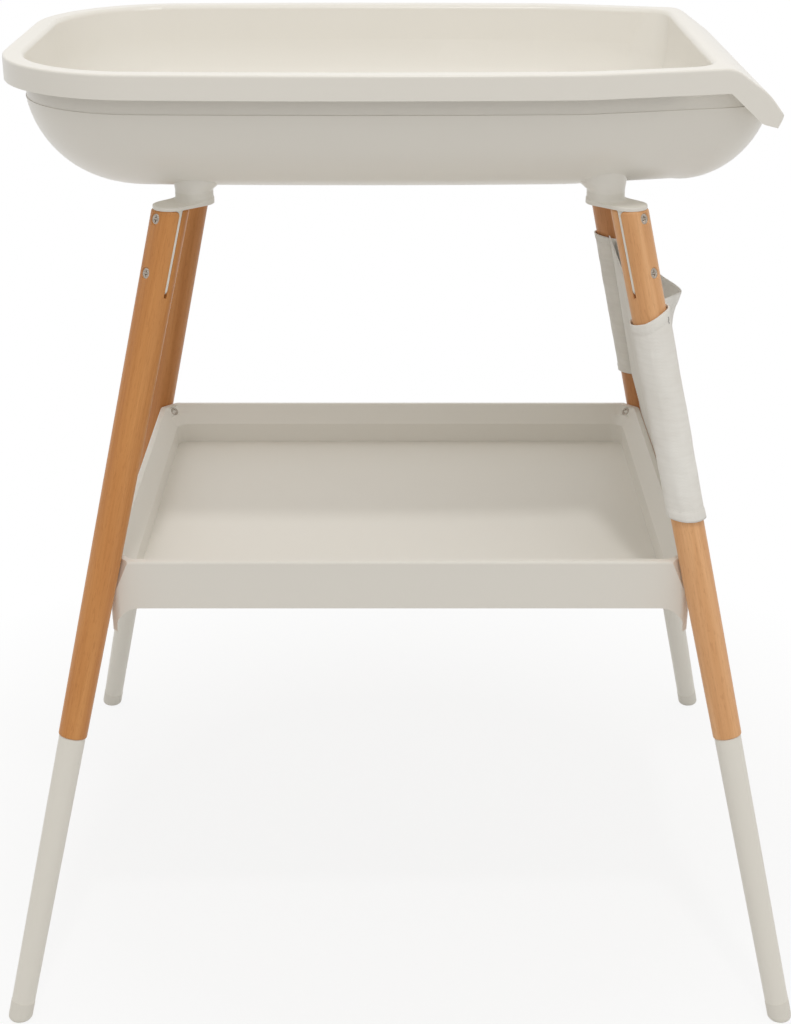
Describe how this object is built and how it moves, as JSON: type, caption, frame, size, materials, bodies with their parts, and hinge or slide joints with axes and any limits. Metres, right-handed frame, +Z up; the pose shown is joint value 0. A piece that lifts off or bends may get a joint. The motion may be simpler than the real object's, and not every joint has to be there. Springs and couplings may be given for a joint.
{
  "type": "changing table with bathtub",
  "caption": "Baby changing table with a rimmed bathtub on splayed wooden legs, a tray shelf and a fabric side pocket.",
  "frame": {"origin": "on the floor under the middle of the four feet", "axes": "+Z up, +X towards the lowered end of the tub and the pocket, -Y towards the front"},
  "size_m": [0.8216, 0.6996, 0.96],
  "materials": {
    "tub_plastic": "smooth white moulded plastic with a soft gloss",
    "tray_plastic": "white moulded plastic, satin",
    "bracket_metal": "white powder coat",
    "lower_leg_paint": "white satin paint",
    "foot_plastic": "white moulded plastic, fine grain",
    "beech_wood": "clear lacquered light hardwood with fine lengthwise grain",
    "screw_steel": "plated steel",
    "pocket_fabric": "off-white woven cotton canvas",
    "plug_rubber": "white rubber"
  },
  "bodies": {
    "stand": {"bracket_back_left": "bracket_metal", "bracket_back_right": "bracket_metal", "bracket_front_left": "bracket_metal", "bracket_front_right": "bracket_metal", "foot_cap_back_left": "foot_plastic", "foot_cap_back_right": "foot_plastic", "foot_cap_front_left": "foot_plastic", "foot_cap_front_right": "foot_plastic", "leg_back_left": "beech_wood", "leg_back_right": "beech_wood", "leg_front_left": "beech_wood", "leg_front_right": "beech_wood", "leg_screws": "screw_steel", "leg_studs": "screw_steel", "lower_leg_back_left": "lower_leg_paint", "lower_leg_back_right": "lower_leg_paint", "lower_leg_front_left": "lower_leg_paint", "lower_leg_front_right": "lower_leg_paint", "pocket_panel": "pocket_fabric", "pocket_pouch": "pocket_fabric", "pocket_sleeve_back": "pocket_fabric", "pocket_sleeve_front": "pocket_fabric", "shelf_screws": "screw_steel", "shelf_tray": "tray_plastic", "tub": "tub_plastic", "tub_screws": "screw_steel"},
    "plug": {"drain_plug": "plug_rubber"}
  },
  "joints": [
    {"name": "drain_plug_lift", "type": "slide", "parent": "stand", "child": "plug", "axis": [0, 0, 1], "range_m": [0, 0.05]}
  ]
}
